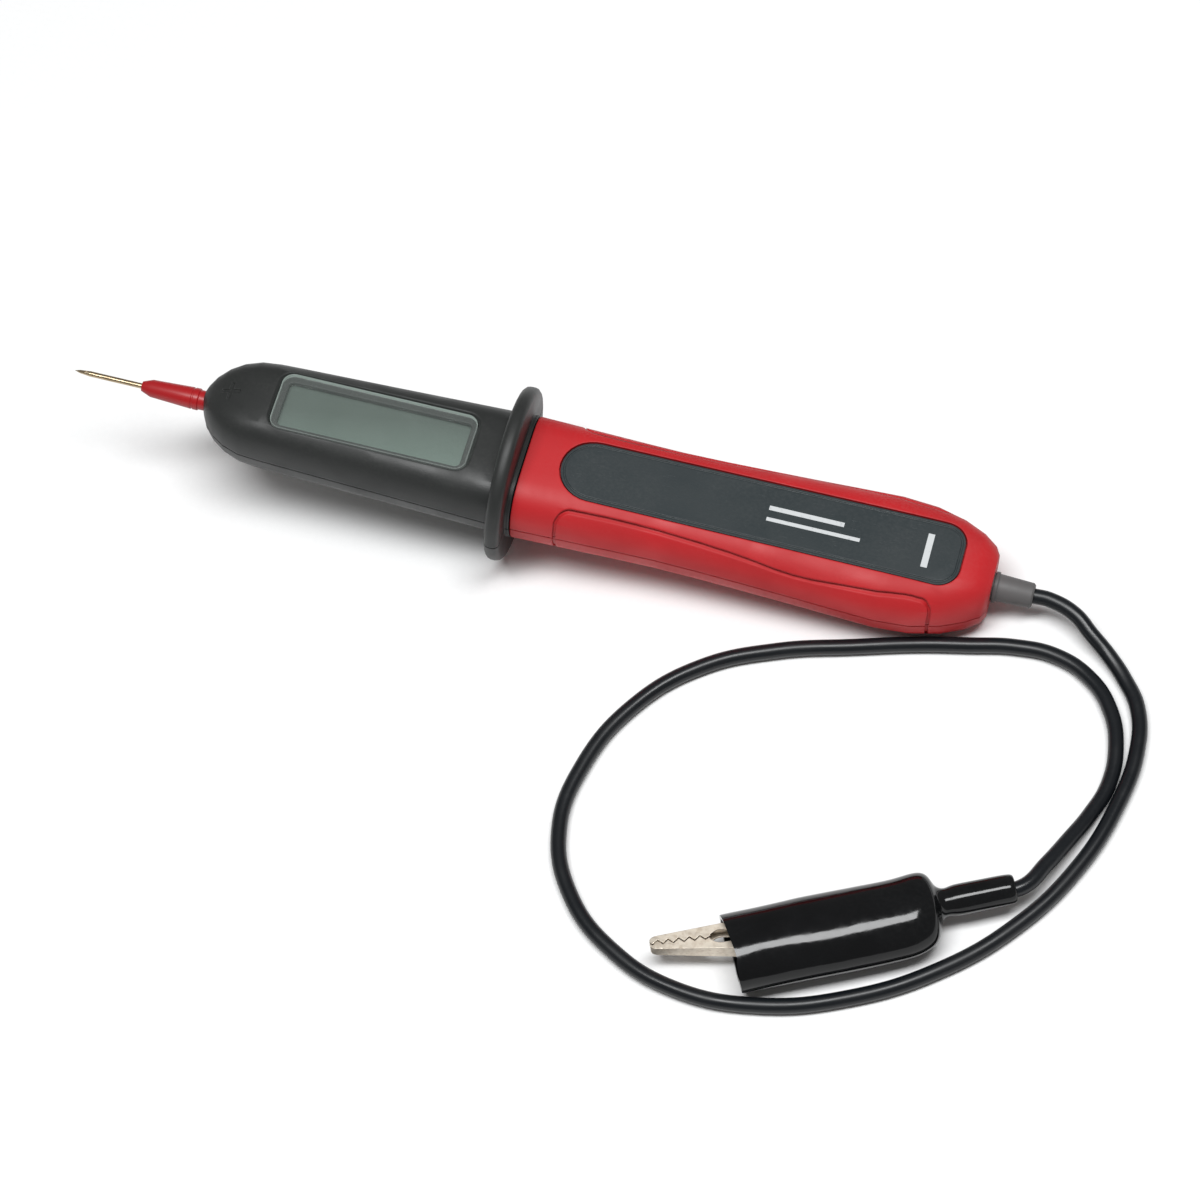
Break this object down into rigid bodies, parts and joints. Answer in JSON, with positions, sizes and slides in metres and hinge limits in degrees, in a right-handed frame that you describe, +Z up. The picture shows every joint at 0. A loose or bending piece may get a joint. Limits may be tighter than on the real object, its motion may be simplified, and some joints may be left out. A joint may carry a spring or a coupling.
{
  "type": "circuit test light",
  "caption": "Handheld automotive circuit tester: needle probe, digital voltage display, round hand guard, red handle, ground cord with booted alligator clip.",
  "frame": {"origin": "on the table, under the centre of the tester's own box (cord and clip left out)", "axes": "+X along the tester from the needle towards the cord exit, +Z up from the table the tester lies on, -Y towards the side where the cord and the clip lie"},
  "size_m": [0.2446, 0.1259, 0.0385],
  "materials": {
    "needle_steel": "bright tan-tinted hardened steel, finely drawn",
    "probe_red": "satin red nylon",
    "brass": "plain turned brass",
    "housing_black": "fine spark-textured black plastic",
    "window_clear": "clear hard-coated plastic lens",
    "lcd_grey": "blank grey-green liquid crystal panel",
    "frame_white": "white plastic",
    "strip_pink": "layered silicone contact strip",
    "board_green": "green solder resist",
    "chip_black": "black moulded epoxy",
    "capacitor_tan": "fired ceramic",
    "resistor_blue": "lacquered body",
    "handle_red": "satin red plastic",
    "label_grey": "dark blue-grey satin plate, blank",
    "screw_zinc": "zinc plated",
    "lead_black": "black wire insulation",
    "relief_grey": "grey moulded rubber",
    "cord_black": "semi-gloss black PVC",
    "jaw_nickel": "nickel plated sheet steel",
    "boot_black": "glossy black dipped PVC"
  },
  "bodies": {
    "tester": {"probe_needle": "needle_steel", "probe_sleeve": "probe_red", "probe_socket": "brass", "probe_lead": "brass", "front_housing_top": "housing_black", "front_housing_bottom": "housing_black", "display_window": "window_clear", "lcd_panel": "lcd_grey", "lcd_frame": "frame_white", "contact_strip_left": "strip_pink", "contact_strip_right": "strip_pink", "circuit_board": "board_green", "converter_chip": "chip_black", "filter_capacitor": "capacitor_tan", "input_resistor": "resistor_blue", "polarity_diode": "chip_black", "handle_top": "handle_red", "handle_bottom": "handle_red", "label_plate": "label_grey", "strain_relief": "relief_grey", "ground_lead": "lead_black", "cord": "cord_black", "clip_fixed_jaw": "jaw_nickel", "clip_rivet": "screw_zinc", "clip_spring": "needle_steel", "clip_boot": "boot_black", "cord_ferrule": "brass", "housing_screw_1": "screw_zinc", "handle_screw_1": "screw_zinc", "housing_screw_2": "screw_zinc", "handle_screw_2": "screw_zinc", "housing_screw_3": "screw_zinc", "handle_screw_3": "screw_zinc", "housing_screw_4": "screw_zinc", "handle_screw_4": "screw_zinc"},
    "moving_jaw": {"clip_moving_jaw": "jaw_nickel"}
  },
  "joints": [
    {"name": "clip_jaw_hinge", "type": "hinge", "parent": "tester", "child": "moving_jaw", "pos_m": [0.07117, -0.09055, 0.007], "axis": [0, 0, 1], "range_deg": [0, 20], "stiffness_Nm_per_rad": 0.06, "springref_deg": -28.65, "deforming": ["clip_boot", "clip_spring"]}
  ]
}
